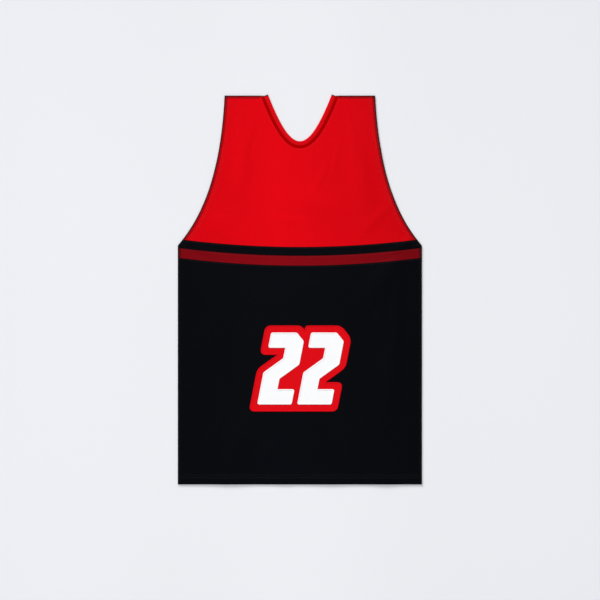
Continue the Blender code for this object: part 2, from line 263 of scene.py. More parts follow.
def cloth_object(name, points, faces, material, values):
    """A smooth object from closed bodies that all face the same way, turned round if that is
    inwards. Values are kept with its points, for the finish."""
    mesh = bpy.data.meshes.new(name)
    mesh.from_pydata(points.tolist(), [], faces)
    for label, value in values.items():
        mesh.attributes.new(label, "FLOAT", "POINT").data.foreach_set("value", np.float32(value))
    work = bmesh.new()
    work.from_mesh(mesh)
    bmesh.ops.remove_doubles(work, verts=work.verts, dist=2e-6)
    if work.calc_volume(signed=True) < 0.0:
        bmesh.ops.reverse_faces(work, faces=work.faces)
    for face in work.faces:
        face.smooth = True
    for edge in work.edges:
        edge.smooth = edge.calc_face_angle(0.0) < CREASE_ANGLE
    work.to_mesh(mesh)
    work.free()
    mesh.materials.append(material)
    piece = bpy.data.objects.new(name, mesh)
    bpy.context.scene.collection.objects.link(piece)
    return piece


def cloth_piece(name, points, faces, material, values, node=None):
    """A cloth object that is a piece of the shirt, and stands for a node if one is named."""
    piece = cloth_object(name, points, faces, material, values)
    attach(piece, "root")
    if node:
        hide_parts(node)
    return piece


class Wire:
    """A node's output socket. A sum of wires and numbers adds the Math nodes for it."""

    def __init__(self, tree, socket):
        self.tree = tree
        self.socket = socket

    def node(self, kind, settings, inputs, output=0):
        """Any other node: its settings first, then the values or links of its sockets."""
        made = self.tree.nodes.new(kind)
        for setting, value in settings.items():
            setattr(made, setting, value)
        for socket, value in inputs.items():
            if isinstance(value, Wire):
                self.tree.links.new(value.socket, made.inputs[socket])
            else:
                made.inputs[socket].default_value = value
        return Wire(self.tree, made.outputs[output])

    def maths(self, operation, *others):
        """A Math node with this wire first."""
        return self.node("ShaderNodeMath", {"operation": operation},
                         dict(enumerate((self, *others))))

    def __add__(self, other):
        return self.maths("ADD", other)

    __radd__ = __add__

    def __sub__(self, other):
        return self.maths("SUBTRACT", other)

    def __rsub__(self, other):
        return self.maths("MULTIPLY_ADD", -1.0, other)

    def __mul__(self, other):
        return self.maths("MULTIPLY", other)

    __rmul__ = __mul__

    def __truediv__(self, other):
        return self.maths("DIVIDE", other)

    def bell(self, middle, width):
        """1 where the wire has its middle value, falling to 0 over a width either side."""
        off = (self - middle) / width
        return (off * off * -1.0).maths("EXPONENT")

    def ramp(self, low, high):
        """0 up to low and 1 from high on, smooth between; low may be the higher one."""
        return self.node("ShaderNodeMapRange", {"interpolation_type": "SMOOTHSTEP"},
                         {"Value": self, "From Min": low, "From Max": high})

    def noise(self, scale, detail=2.0):
        """Soft noise about 0, at this many blotches a metre."""
        return self.node("ShaderNodeTexNoise", {}, {"Vector": self, "Scale": scale,
                                                    "Detail": detail}) - 0.5

    def part(self, axis):
        """One coordinate of a vector."""
        return self.node("ShaderNodeSeparateXYZ", {}, {0: self}, axis)

    def value(self, label):
        """A value that the mesh's points keep."""
        return self.node("ShaderNodeAttribute", {"attribute_name": label}, {}, "Fac")

    def colour(self, paint):
        """A colour made lighter or darker by this wire."""
        return self.node("ShaderNodeVectorMath", {"operation": "SCALE"},
                         {0: paint, "Scale": self})


def start_finish(name, roughness, specular):
    """A cloth material: its shader, and a wire with places on the object."""
    material = bpy.data.materials.new(name)
    material.use_nodes = True
    tree = material.node_tree
    shader = tree.nodes["Principled BSDF"]
    shader.inputs["Specular IOR Level"].default_value = specular
    shader.inputs["Roughness"].default_value = roughness
    place = Wire(tree, tree.nodes.new("ShaderNodeTexCoord").outputs["Object"])
    return material, shader, place


def end_finish(shader, place, colour, roughness, height, relief):
    """Link a finish's colour, roughness and relief to its shader."""
    links = place.tree.links
    links.new(colour.socket, shader.inputs["Base Color"])
    links.new(roughness.socket, shader.inputs["Roughness"])
    bump = place.node("ShaderNodeBump", {}, {"Distance": relief, "Height": height})
    links.new(bump.socket, shader.inputs["Normal"])


WALE = 0.0013  # pitch of the knit's upright ribs
EYELET_ACROSS = 0.0026  # pitch of the pinholes, in staggered rows
EYELET_UP = 0.0022
PINHOLE = (0.07, 0.015)  # outer and inner radius of a pinhole's rim, in squared pitches
SEAM_SHADE = (0.0011, 0.0)  # where the cloth dips beside a seam or an edge, and painted shade darkens it
RIM_SHADE = (0.0016, 0.0003)
GROOVE = 0.0006  # half width of the groove that stitches pull
PAINTED_LIGHT_MIDDLE = 0.045  # painted light: the knit is painted palest this far left of the middle
KNIT_ROUGHNESS = 0.62
KNIT_RELIEF = 0.00012


def knit(name, paint):
    """Close-knit polyester: fine wales, rows of shallow pinholes, and needle grooves, with painted
    shade in the grooves and beside seams and edges, and painted light palest near the middle.
    """
    material, shader, place = start_finish(name, KNIT_ROUGHNESS, 0.03)
    across, up = place.part("X"), place.part("Y")
    row = up / EYELET_UP
    column = across / EYELET_ACROSS + (row.maths("FLOOR") * 0.5).maths("FRACT")
    off_across, off_up = column.maths("FRACT") - 0.5, row.maths("FRACT") - 0.5
    pinhole = (off_across * off_across + off_up * off_up).ramp(*PINHOLE)
    wales = (across * (2 * math.pi / WALE)).maths("SINE")
    stretched = place.node("ShaderNodeVectorMath", {"operation": "MULTIPLY"},
                           {0: place, 1: (1.0, 0.12, 1.0)})
    slub = stretched.noise(420.0)
    blotch = place.noise(14.0)
    fibre = place.noise(1800.0, 1.0)

    # Needle grooves: pressed in as relief, and darkened with painted shade.
    groove = place.value("sewn").bell(SEWN, GROOVE)
    for edge, rows in (("hem", HEM_ROWS), ("armhole", ARMHOLE_ROWS)):
        for distance in rows:
            groove = groove + place.value(edge).bell(distance, GROOVE)
    # Painted shade: the cloth is darkened in the dip beside seams and in the roll of its edges.
    painted_valley_shade = (place.value("seam").ramp(*SEAM_SHADE)
              + 0.6 * place.value("rim").ramp(*RIM_SHADE))

    # Painted light: the knit's colour is palest a little left of the middle and darker towards the
    # sides, standing in for the fall of light across the shirt.
    off_painted_light = (across + PAINTED_LIGHT_MIDDLE).maths("ABSOLUTE")
    tone = (1.078 - 0.86 * off_painted_light - 0.16 * pinhole - 0.22 * groove - 0.30 * painted_valley_shade
            + 0.09 * slub + 0.05 * blotch)
    height = 0.30 * wales - 1.0 * pinhole - 2.2 * groove + 0.5 * slub + 0.25 * fibre
    rough = KNIT_ROUGHNESS + 0.10 * slub + 0.10 * blotch - 0.06 * pinhole
    end_finish(shader, place, tone.colour(paint), rough, height, KNIT_RELIEF)
    return material


RED = (0.678, 0.0002, 0.0040)
KNITS = {
    "red_knit": knit("red knit", RED),
    "black_knit": knit("black knit", (0.0014, 0.0017, 0.0031)),
    "dark_red_knit": knit("dark red knit", (0.204, 0.0013, 0.0048)),
}

# Each panel has the levels of the cross seams above and below it, or of places past its
# ends, its grid, its seams, of which the first is topstitched, and its knit.
Cut = namedtuple("Cut", "label top bottom places seams slot")
yoke_seam, stripe_seam, body_seam = map(seam_line, (YOKE_DOWN, STRIPE_DOWN, BODY_DOWN))
band_levels = np.append(YOKE_DOWN + spaced(CHEST_BAND_HEIGHT, BAND_GRID),
                        UNDERARM_DOWN + SEAM_RISE)
CUTS = (
    Cut("yoke", -1.0, YOKE_DOWN, yoke_places(), (NECKLINE, yoke_seam), "red_knit"),
    Cut("chest_band", YOKE_DOWN, STRIPE_DOWN, cross_places(np.sort(band_levels)),
        (yoke_seam, stripe_seam), "black_knit"),
    Cut("stripe", STRIPE_DOWN, BODY_DOWN,
        cross_places(STRIPE_DOWN + spaced(STRIPE_HEIGHT, BAND_GRID)),
        (stripe_seam, body_seam), "dark_red_knit"),
    Cut("body", BODY_DOWN, 2.0,
        cross_places(BODY_DOWN + spaced(LENGTH - BODY_DOWN, GRID), LENGTH),
        (body_seam,), "black_knit"),
)
RIMS = ((ARMHOLE, ARMHOLE_TURN), (SIDE, SIDE_TURN), (HEM, HEM_TURN), (SHOULDER, SIDE_TURN))


def panel(name, cut, rest, side):
    """One panel. Rest is the height of its outer side, and side is 1 where that is up, on
    the front, or -1 where it is down, on the back. Edges roll in, and are double."""
    right = np.abs(cut.places)  # the left half is measured as the right one is
    seam = np.minimum.reduce([nearest(line, right) for line in cut.seams])
    gaps = [nearest(line, right) for line, _ in RIMS]
    rim = np.minimum.reduce(gaps)
    turned = np.maximum.reduce([ease((turn - gap) / TURN_FADE) for gap, (_, turn)
                                in zip(gaps, RIMS)])
    outer = rest - side * np.maximum(roll(seam, SEAM_ROLL), roll(rim, CLOTH))
    inner = rest - side * (CLOTH * (1.0 + turned) - roll(rim, CLOTH))
    points, faces = shell(cut.places, outer, inner)
    distances = {"rim": rim, "seam": seam, "sewn": nearest(cut.seams[0], right),
                 "hem": LENGTH - cut.places[..., 1], "armhole": gaps[0]}
    return cloth_piece(name + "_cloth", points, faces, KNITS[cut.slot],
                       {label: np.tile(distance.ravel(), 2)
                        for label, distance in distances.items()}, name)


Fold = namedtuple("Fold", "out down length half_width height lean bend", defaults=[0])
# The lists give folds as rows of these, with sizes in millimetres and the lean in degrees.
BACK_CREASES = (
    (-94, 196, 190, 8.5, 0.8, 22, 10),
    (70, 128, 140, 6.5, 0.6, -12, -6),
    (148, 244, 160, 9, 0.9, -46, 8),
    (-194, 392, 150, 8, 0.8, 34, -9),
    (20, 372, 170, 10, 0.6, 84, 10),
    (186, 420, 210, 9.5, 1, -9, 12),
    (-134, 548, 180, 8.5, 0.7, 14, -8),
    (-52, 690, 130, 7.5, 0.6, -33, 6),
    (118, 620, 170, 9, 0.8, 24, -10),
)
CREASE_RIM = 0.014  # creases die out this near the shirt's edge,
RIM_FLAT = 0.003  # and leave this much of it flat


def ridges(folds, places):
    """Height of folds at each place: a rounded ridge with tapered ends each."""
    height = np.zeros(places.shape[:-1])
    for fold in (Fold(*row) for row in folds):
        lean = math.radians(fold.lean)
        right, below = 1000 * places[..., 0] - fold.out, 1000 * places[..., 1] - fold.down
        along = (right * math.sin(lean) + below * math.cos(lean)) * 2.0 / fold.length
        across = right * math.cos(lean) - below * math.sin(lean) - fold.bend * along ** 2
        ridge = np.exp(-(across / fold.half_width) ** 2)
        height += 0.001 * fold.height * ease(1.0 - np.abs(along)) * ridge
    return height


def edge_gaps(places):
    """How far inside the side, the neck, the shoulder line and the hem each place is."""
    wide, down = np.abs(places[..., 0]), places[..., 1]
    side_out = np.interp(down, ARMHOLE[:, 1], ARMHOLE[:, 0])
    root = np.hypot(NECK_A, NECK_M * wide)
    below_neck = (down - NECK_DEPTH + root - NECK_A) / np.hypot(1.0, NECK_M ** 2 * wide / root)
    return side_out - wide, below_neck, down, LENGTH - down


def back_lie(places):
    """Height of the back's outer side, which creases lift off the table."""
    height = ridges(BACK_CREASES, places)
    for gap in edge_gaps(places):
        height = height * ease((gap - RIM_FLAT) / CREASE_RIM)
    return BACK_REST + height


panels = {"back_" + cut.label: panel("back_" + cut.label, cut, back_lie(cut.places), -1)
          for cut in CUTS}


# ---- Front panels ----
# The front is the same four panels, sewn to the back at the shoulders and sides. It
# follows the back's creases and has some of its own, with low, broad folds. Its seams and
# the stiff number hold it flat, and its hem and armholes lift off the back in places.

FRONT_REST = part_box("front_body")[0].z + 0.0012  # upper side where it lies flat
FLAT_RIM = 0.050  # folds die out this near the shirt's edge
NUMBER_DOWN = 0.6062  # foot of the number's figures
NUMBER_OUT = 0.003  # their middle, to the right of the shirt's
FIGURE_HEIGHT = 0.1385
NUMBER_CALM = 0.35  # share of a fold's height left under the number
NUMBER_REACH = 0.135  # folds are calm this near the number's middle
LIFT_RIM = 0.03  # lifts die out this near the sides and shoulders
SEAM_PUCKER = (0.00013, 0.006)  # height of a row's puckers, and how far they reach
HEM_PUCKER = (0.00010, 0.006)
ARMHOLE_PUCKER = (0.00008, 0.005)
ALLOWANCE = 0.006  # cloth under a cross seam, and how much it adds
SEAM_STEP = 0.00022
HEM_STEP = 0.00020
HEM_FADE = 0.004  # over which the hem's step ends

FOLDS = (
    (-112, 130, 230, 19, 2.6, -7),
    (121, 160, 250, 22, 3, 9),
    (30, 212, 170, 24, 2, 68),
    (-150, 262, 210, 23, 2.8, 38),
    (168, 352, 230, 24, 3.2, -34),
    (-162, 452, 270, 22, 3, 12),
    (176, 560, 300, 24, 2.8, -8),
    (-48, 398, 210, 25, 1.8, 74),
    (92, 690, 170, 21, 2.2, 27),
    (-118, 676, 190, 23, 2.6, -24),
)
CREASES = (
    (-196, 300, 110, 7, 1.1, 58, 10),
    (-176, 327, 130, 6, -0.6, 66, 14),
    (200, 296, 120, 7.5, 1.2, -60, -12),
    (174, 320, 100, 5.5, -0.6, -72, -10),
    (-122, 74, 130, 8, 0.9, -4, 6),
    (-94, 98, 105, 6, -0.5, -11, 4),
    (104, 84, 150, 8.5, 1, 7, -7),
    (-36, 150, 85, 6.5, 0.6, 28, 5),
    (42, 162, 100, 7, 0.7, -24, -6),
    (-10, 248, 120, 8, 0.6, 81, 8),
    (-182, 492, 150, 8, 1, 20, 10),
    (190, 470, 170, 8.5, 1.1, -14, -9),
    (142, 430, 120, 7, -0.5, -28, -6),
    (-62, 418, 130, 7.5, 0.6, 79, 9),
    (136, 664, 140, 8, 0.9, 31, 8),
    (-162, 650, 160, 8.5, 1, -22, -10),
    (24, 702, 95, 7.5, 0.7, 9, 4),
    (-66, 716, 80, 6.5, 0.6, -8, -4),
)
LIFTS = (
    (-139, 765, 130, 30, 1.4, 9),
    (-31, 765, 100, 22, 0.8, -4),
    (58, 765, 120, 34, 1.1, -7),
    (168, 765, 140, 24, 1.5, 5),
    (-170, 150, 70, 22, 1, 82),
    (-192, 221, 60, 18, 0.7, 66),
    (163, 112, 60, 20, 0.8, -84),
    (186, 205, 80, 24, 1.2, -70),
)


def puckers(size, gap, along):
    """Uneven puckers beside a row of stitches."""
    swell = 0.6 + 0.4 * np.sin(along / 0.021 + 0.7)
    wave = 0.6 * np.sin(along / 0.0026) + 0.4 * np.sin(along / 0.0017 + 1.9)
    return size[0] * np.exp(-np.abs(gap) / size[1]) * swell * wave


def lie(places):
    """Height of the front's upper side at each place."""
    fold_ease, crease_ease = 1.0, 1.0
    for gap in edge_gaps(places):
        fold_ease = fold_ease * ease(gap / FLAT_RIM)
        crease_ease = crease_ease * ease((gap - RIM_FLAT) / CREASE_RIM)
    out, down = places[..., 0], places[..., 1]
    from_number = np.hypot(out - NUMBER_OUT,
                           down - NUMBER_DOWN + 0.5 * FIGURE_HEIGHT) / NUMBER_REACH
    calm = NUMBER_CALM + (1.0 - NUMBER_CALM) * ease(2.0 * (from_number - 0.75))
    height = calm * (fold_ease * ridges(FOLDS, places) + crease_ease * ridges(CREASES, places))
    height += (ease((HALF_WIDTH - np.abs(out)) / LIFT_RIM) * ease(down / LIFT_RIM)
               * ridges(LIFTS, places))
    for level in (YOKE_DOWN, STRIPE_DOWN, BODY_DOWN):
        gap = level_of(places) - level
        height += puckers(SEAM_PUCKER, gap, out + level)
        height += SEAM_STEP * ease(1.0 - np.abs(gap - 0.5 * ALLOWANCE) / ALLOWANCE)
    side_gap, _, _, hem_gap = edge_gaps(places)
    height += puckers(HEM_PUCKER, hem_gap - HEM_ROWS[1], out)
    height += puckers(ARMHOLE_PUCKER, side_gap - ARMHOLE_ROWS[1], down)
    height += HEM_STEP * ease((HEM_TURN + 0.5 * HEM_FADE - hem_gap) / HEM_FADE)
    return FRONT_REST - BACK_REST + back_lie(places) + height


panels |= {"front_" + cut.label: panel("front_" + cut.label, cut, lie(cut.places), 1)
           for cut in CUTS}


# ---- Topstitching ----
# The cross seams and the neck seam have one row of polyester thread beside them, and
# the hem and armholes have two rows, made by a twin needle. Each stitch lies in the
# groove that it pulls into the cloth.

STITCH_LENGTH = 0.0025
STITCH_STEP = 0.0031
STITCH_WIDTH = 0.00055
STITCH_HEIGHT = 0.00036
ROW_START = 0.0042  # from the side to a row's end, inside the overlock
ROW_GAP = 0.0008  # from a cross seam to the end of an armhole's row
ROW_PAST = 0.02  # how far that row goes on past the underarm
ROW_POINTS = 0.0005  # between its points
THREAD_TWIST = 0.0007  # pitch of the thread's twist
THREAD_ROUGHNESS = 0.42
THREAD_RELIEF = 0.00004


def one_stitch():
    """A single stitch at the origin, along X: its points and its faces."""
    bpy.ops.object.select_all(action="DESELECT")
    bpy.ops.mesh.primitive_uv_sphere_add(segments=8, ring_count=5, radius=0.5 * STITCH_WIDTH)
    bpy.ops.object.mode_set(mode="EDIT")
    bpy.ops.mesh.select_all(action="SELECT")
    bpy.ops.transform.rotate(value=0.5 * math.pi, orient_axis="Y", center_override=(0, 0, 0))
    bpy.ops.transform.resize(value=(STITCH_LENGTH / STITCH_WIDTH, 1.0,
                                    STITCH_HEIGHT / STITCH_WIDTH),
                             center_override=(0, 0, 0))
    bpy.ops.object.mode_set(mode="OBJECT")
    ball = bpy.context.object
    points = np.array([vert.co for vert in ball.data.vertices])
    faces = [tuple(face.vertices) for face in ball.data.polygons]
    bpy.data.objects.remove(ball, do_unlink=True)
    return points, faces


STITCH_POINTS, STITCH_FACES = one_stitch()


def left_side(run):
    """The side to the left of each step of a line, 1 long."""
    return np.stack([-run[:, 1], run[:, 0]], axis=1) / np.hypot(*run.T)[:, None]


def armhole_row(gap, top, bottom):
    """A row inside the armhole's edge, as far as it lies between two cross seams."""
    run = np.gradient(ARMHOLE, axis=0)
    row = ARMHOLE + gap * left_side(run)
    row = np.vstack([row, row[-1] + ROW_PAST * run[-1] / np.hypot(*run[-1])])
    row = walk(row, np.arange(0.0, marks(row)[-1], ROW_POINTS))
    level = level_of(row)
    return row[(level > top + ROW_GAP) & (level < bottom - ROW_GAP)
               & (row[:, 0] < HALF_WIDTH - ROW_START)]


def thread(name, paint):
    """Twisted polyester thread, a little glossier than the cloth."""
    material, shader, place = start_finish(name, THREAD_ROUGHNESS, 0.15)
    twist = ((place.part("X") + place.part("Y")) * (2 * math.pi / THREAD_TWIST)).maths("SINE")
    tone = 1.0 + 0.12 * twist + 0.10 * place.noise(90.0)
    rough = THREAD_ROUGHNESS + 0.05 * twist
    end_finish(shader, place, tone.colour(paint), rough, twist, THREAD_RELIEF)
    return material


def under(places):
    """Height of the middle of the back's stitches, which stand out below it."""
    return back_lie(places) + 0.5 * STITCH_HEIGHT - BACK_REST


def sew(name, rows, height, cut):
    """Stitches along rows of places, at their height, as one mesh."""
    points, faces = [], []
    x, y, z = STITCH_POINTS.T
    for row in rows:
        middles = np.arange(STITCH_STEP, marks(row)[-1] - STITCH_STEP, STITCH_STEP)
        back, ahead = (walk(row, middles + reach * STITCH_LENGTH) for reach in (-0.4, 0.4))
        for start, end, low, high in zip(back, ahead, height(back), height(ahead)):
            middle, run = 0.5 * (start + end), (end - start) / np.hypot(*(end - start))
            rise = (high - low) / (0.8 * STITCH_LENGTH)
            base = len(points) * len(STITCH_POINTS)
            points.append(np.column_stack([middle[0] + x * run[0] + y * run[1],
                                           SHOULDER_Y - middle[1] - x * run[1] + y * run[0],
                                           0.5 * (low + high) + x * rise + z]))
            faces += [tuple(corner + base for corner in face) for face in STITCH_FACES]
    return cloth_piece(name, np.vstack(points), faces, THREADS[cut.slot], {})


NECK_TOP = neck_turn_at(YOKE_OFFSET + SEWN, 0.002)  # ends of the neck's row


def stitch_rows(cut):
    """Rows of topstitching on a panel."""
    rows = []
    for gap in ARMHOLE_ROWS:
        row = armhole_row(gap, cut.top, cut.bottom)
        if len(row) > 2:
            rows += [row, row * (-1, 1)]
    if cut.label == "yoke":
        return rows + [neck_line(YOKE_OFFSET + SEWN, np.linspace(-NECK_TOP, NECK_TOP, 400))]
    right = seam_line(cut.top + SEWN)
    right = walk(right, np.linspace(ROW_START, marks(right)[-1], 80))
    rows.append(np.vstack([right, right[-2::-1] * (-1, 1)]))
    if cut.label == "body":
        end = HALF_WIDTH - ROW_START
        for gap in HEM_ROWS:
            rows.append(np.array([[-end, LENGTH - gap], [end, LENGTH - gap]]))
    return rows


THREADS = {
    "red_knit": thread("red thread", (0.80, 0.012, 0.020)),
    "black_knit": thread("black thread", (0.010, 0.010, 0.013)),
    "dark_red_knit": thread("dark red thread", (0.30, 0.006, 0.010)),
}
for cut in CUTS:
    rows = stitch_rows(cut)
    for name, height in (("front_" + cut.label, lie), ("back_" + cut.label, under)):
        sew(name + "_stitching", rows, height, cut)


# ---- Overlocked edges ----
# Shoulders, armholes and sides are overlocked in black thread: dense loops wrap the turned
# edge, and legs of thread zigzag from them to a row of needle stitches. From a distance it
# is a soft dark line round the red.

EDGE_STEP = 0.0011
LOOPS_WIDTH = 0.0018
LOOPS_RISE = 0.0001
WRAP = [(CLOTH + (CLOTH + LOOPS_RISE) * math.cos(turn),
         -CLOTH + (CLOTH + LOOPS_RISE) * math.sin(turn))
        for turn in np.linspace(math.radians(200), math.radians(90), 8)]
WRAP += [(LOOPS_WIDTH, LOOPS_RISE), (LOOPS_WIDTH + 0.0002, -LOOPS_RISE), (CLOTH, -0.6 * CLOTH)]
RIM_POINTS = 8000  # of the line from the shoulder to the hem
LEG_REACH = 0.0054  # from the edge to the needle's row
LEG_STEP = 0.0011  # that a leg goes along the edge
LEG_GAP = 0.04  # share of a leg left free at each of its ends
LEG = np.array([(-0.00026, -0.00008), (-0.00018, 0.00010), (0.0, 0.00018),
                (0.00018, 0.00010), (0.00026, -0.00008)])  # its section
LOOP_PITCH = 0.0012
STRIP_GROOVE = 0.0004  # half width of the groove along a strip's row of stitches
NO_ROW = 1.0  # a row this far off doesn't show


def inside(spots, closed):
    """The inward side of a line at each point, turning evenly past a corner if it is open."""
    if closed:
        return left_side(np.roll(spots, -1, axis=0) - np.roll(spots, 1, axis=0))
    return left_side(np.stack([np.convolve(run, np.ones(7), "same")
                               for run in np.gradient(spots, axis=0).T], axis=1))


def tube(number, closed, flip=1):
    """Faces over numbered points in rings, which close on each other or are capped at both
    ends. Flip is -1 where the rings are mirrored."""
    here = number if closed else number[:-1]
    after = np.roll(number, -1, axis=0) if closed else number[1:]
    sides = np.stack([here, np.roll(here, -1, axis=1), np.roll(after, -1, axis=1), after],
                     axis=-1).reshape(-1, 4)[:, ::flip].tolist()
    caps = [] if closed else [number[0, ::-flip].tolist(), number[-1, ::flip].tolist()]
    return sides + caps


def thread_ridge(name, lines, closed, profile, height, side, lift, material):
    """Dense stitches over a cut edge: a low ridge along one closed line, or along open
    lines on the right and again on the left. Its profile is a loop of (inward, up) offsets
    from the cloth, where up is down on the back, whose side is -1."""
    inward, up = np.array(profile).T
    points, faces, reaches = [], [], []
    for line in lines:
        path = np.vstack([line, line[:1]]) if closed else line
        length = marks(path)[-1]
        reach = np.linspace(0.0, length, round(length / EDGE_STEP), endpoint=not closed)
        spots = walk(path, reach)
        right = spots[:, None] + inside(spots, closed)[:, None] * inward[:, None]
        for flip in (1,) if closed else (1, -1):
            places = right * (flip, 1)
            faces += tube(numbered(places) + len(reaches) * len(up), closed, flip)
            points.append(points_at(places, height(places) + lift + side * up).reshape(-1, 3))
            reaches += reach.tolist()
    return cloth_piece(name, np.vstack(points), faces, material,
                       {"along": np.repeat(reaches, len(up)),
                        "across": np.tile(inward, len(reaches))})


def add_legs(piece, lines, height, side):
    """Legs of thread that zigzag inside an overlocked edge, and the needle's row beside
    them, joined to the edge's loops."""
    starts, ends = [], []
    for line in lines:
        spots = walk(line, np.arange(LEG_STEP, marks(line)[-1] - 0.5 * LEG_STEP, LEG_STEP))
        across = inside(spots, False)
        row = spots + LEG_REACH * across
        zigzag = spots + 0.8 * LOOPS_WIDTH * across
        zigzag[1::2] = row[1::2]
        for flip in ((1, 1), (-1, 1)):
            starts += [zigzag[:-1] * flip, row[1:-2:2] * flip]
            ends += [zigzag[1:] * flip, row[3::2] * flip]
    starts, ends = np.vstack(starts), np.vstack(ends)
    starts, ends = starts + LEG_GAP * (ends - starts), ends + LEG_GAP * (starts - ends)
    wide = left_side(ends - starts)
    points = np.stack([points_at(spots[:, None] + wide[:, None] * LEG[:, :1],
                                 height(spots)[:, None] + side * LEG[:, 1])
                       for spots in (starts, ends)], axis=1)
    faces = [face for leg in numbered(points) for face in tube(leg, False)]
    legs = cloth_object("legs", points.reshape(-1, 3), faces, piece.data.materials[0], {})
    bpy.ops.object.select_all(action="DESELECT")
    legs.select_set(True)
    piece.select_set(True)
    bpy.context.view_layer.objects.active = piece
    bpy.ops.object.join()


def strip_finish(name, paint, roughness, pitch, relief, edge_row=NO_ROW, specular=0.04):
    """Cloth whose ribs or weft run across a strip, with a row of stitches near an edge."""
    material, shader, place = start_finish(name, roughness, specular)
    rib = (place.value("along") * (2 * math.pi / pitch)).maths("SINE")
    groove = place.value("across").bell(edge_row, STRIP_GROOVE)
    blotch = place.noise(60.0)
    # The row's groove is pressed in as relief and darkened with painted shade.
    tone = 1.0 + 0.10 * rib - 0.18 * groove + 0.08 * blotch
    rough = roughness + 0.08 * blotch
    end_finish(shader, place, tone.colour(paint), rough, rib - 1.5 * groove, relief)
    return material


overlock = strip_finish("black overlock thread", (0.0040, 0.0030, 0.0034), 0.5, LOOP_PITCH,
                        0.00006)
rim_path = np.vstack([ARMHOLE, SIDE[1:]])
rim_path = walk(rim_path, np.linspace(0.0, marks(rim_path)[-1], RIM_POINTS))
edging = {}
for cut in CUTS:
    lines = [rim_path[(level_of(rim_path) > cut.top) & (level_of(rim_path) < cut.bottom)]]
    if cut.label == "yoke":
        lines.append(SHOULDER)
    for name, height, side in (("front_" + cut.label, lie, 1),
                               ("back_" + cut.label, back_lie, -1)):
        edging[name] = thread_ridge(name + "_overlock", lines, False, WRAP, height, side, 0.0,
                                    overlock)
        add_legs(edging[name], lines, height, side)

for cut in CUTS:
    for name, under_it in (("back_" + cut.label, "table"),
                           ("front_" + cut.label, panels["back_" + cut.label])):
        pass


# ---- Neckband and neck tape ----
# The neck is bound with a narrow folded band of red rib, and a flat dark red tape is
# set between it and the yokes. Both are rings: along the front, over each shoulder,
# where the shoulders' overlock runs on over them, and along the back.

NECK_STEP = 0.0012
ROLLS = np.pi * np.arange(1, 10) / 10  # steps of the fold over a shoulder
BAND_WALL = 0.0012
FOLD_RADIUS = 0.5 * (BAND_WALL + SEAM)
FOLD_REACH = FOLD_RADIUS + 0.5 * BAND_WALL
NECK_END = neck_turn_at(0.5 * YOKE_OFFSET, FOLD_REACH)
TIP_OVERLOCK = 0.0003  # how far the overlock reaches onto the strips
TIP_RISE = 0.00008  # and how far it stands off them
TAPE_LAP = 0.0001  # how far the tape laps the yokes' rolled edges
RIB = 0.0019  # pitch of the rib, across the band
WEFT = 0.0011  # pitch of the tape's weave
BAND_ROW = 0.0016  # from the band's edge to its row of stitches
TAPE_ROW = 0.0010
SHARES = np.linspace(-1.0, 1.0, 1500)
Strip = namedtuple("Strip", "name offset width profile end_turns")


def soft_profile(sides, fullness, top):
    """A loop round a strip with soft edges, as (across, up): shares of its width from its
    middle, and of half its thickness."""
    angles = 2 * np.pi * np.arange(sides) / sides
    ring = np.stack([np.cos(angles), np.sin(angles)], axis=1)
    return np.sign(ring) * np.abs(ring) ** fullness * (0.5, top)


def strip_marks(strip):
    """How far along a strip's middle line each share of it is, on the front."""
    return marks(neck_line(strip.offset + 0.5 * strip.width, SHARES * NECK_END))


def strip_points(strip, share, angle, swell=0.0):
    """Points round a strip at stations along it. Share runs from -1 at the left shoulder
    to 1 at the right one, and angle is how far the strip has folded over there."""
    across, up = strip.profile.T
    turn = share[:, None] * strip.end_turns
    ahead = neck_side(turn)[..., ::-1] * (1, -1)
    lift = FOLD_RADIUS + (0.5 * BAND_WALL + swell) * up
    place = (neck_line(strip.offset + 0.5 * strip.width + (strip.width + 2 * swell) * across, turn)
             + ahead * (lift * np.sin(angle)[:, None])[..., None])
    height = BAND_WALL + 0.5 * SEAM + lift * np.cos(angle)[:, None]
    return points_at(place, height)


def neck_ring(strip, material, with_pieces):
    """A strip of cloth sewn round the whole neck."""
    length = float(strip_marks(strip)[-1])
    reach = np.linspace(0.0, length, round(length / NECK_STEP))
    front = np.interp(reach, strip_marks(strip), SHARES)
    still = np.ones(len(ROLLS))
    points = strip_points(
        strip, np.concatenate([front, still, front[::-1], -still]),
        np.concatenate([0 * front, ROLLS, 0 * front + np.pi, np.pi + ROLLS]))
    along = np.concatenate([reach, length + FOLD_REACH * ROLLS, reach[::-1],
                            -FOLD_REACH * ROLLS])
    piece = cloth_piece(strip.name + "_cloth", points.reshape(-1, 3),
                        tube(numbered(points), True), material,
                        {"along": np.repeat(along, len(strip.profile)),
                         "across": np.tile(strip.profile[:, 0] * strip.width, len(along))},
                        strip.name)
    2 * length * strip.width


def tip_overlock(strips):
    """The shoulders' overlock where it runs on over the strips."""
    points, faces, reaches = [], [], []
    for strip in strips:
        line = strip_marks(strip)
        end = np.interp(line[-1] - TIP_OVERLOCK * np.array([1.0, 0.5, 0.0]), line, SHARES)
        share = np.concatenate([end, np.ones(len(ROLLS)), end[::-1]])
        angle = np.concatenate([0 * end, ROLLS, 0 * end + np.pi])
        right = strip_points(strip, share, angle, TIP_RISE)
        for flip in (1, -1):
            faces += tube(numbered(right) + len(reaches), False, flip)
            points.append((right * (flip, 1, 1)).reshape(-1, 3))
            reaches += (strip.profile[:, 0] * strip.width).tolist() * len(share)
    return cloth_piece("neckband_overlock", np.vstack(points), faces, overlock,
                       {"along": reaches, "across": np.zeros(len(reaches))})


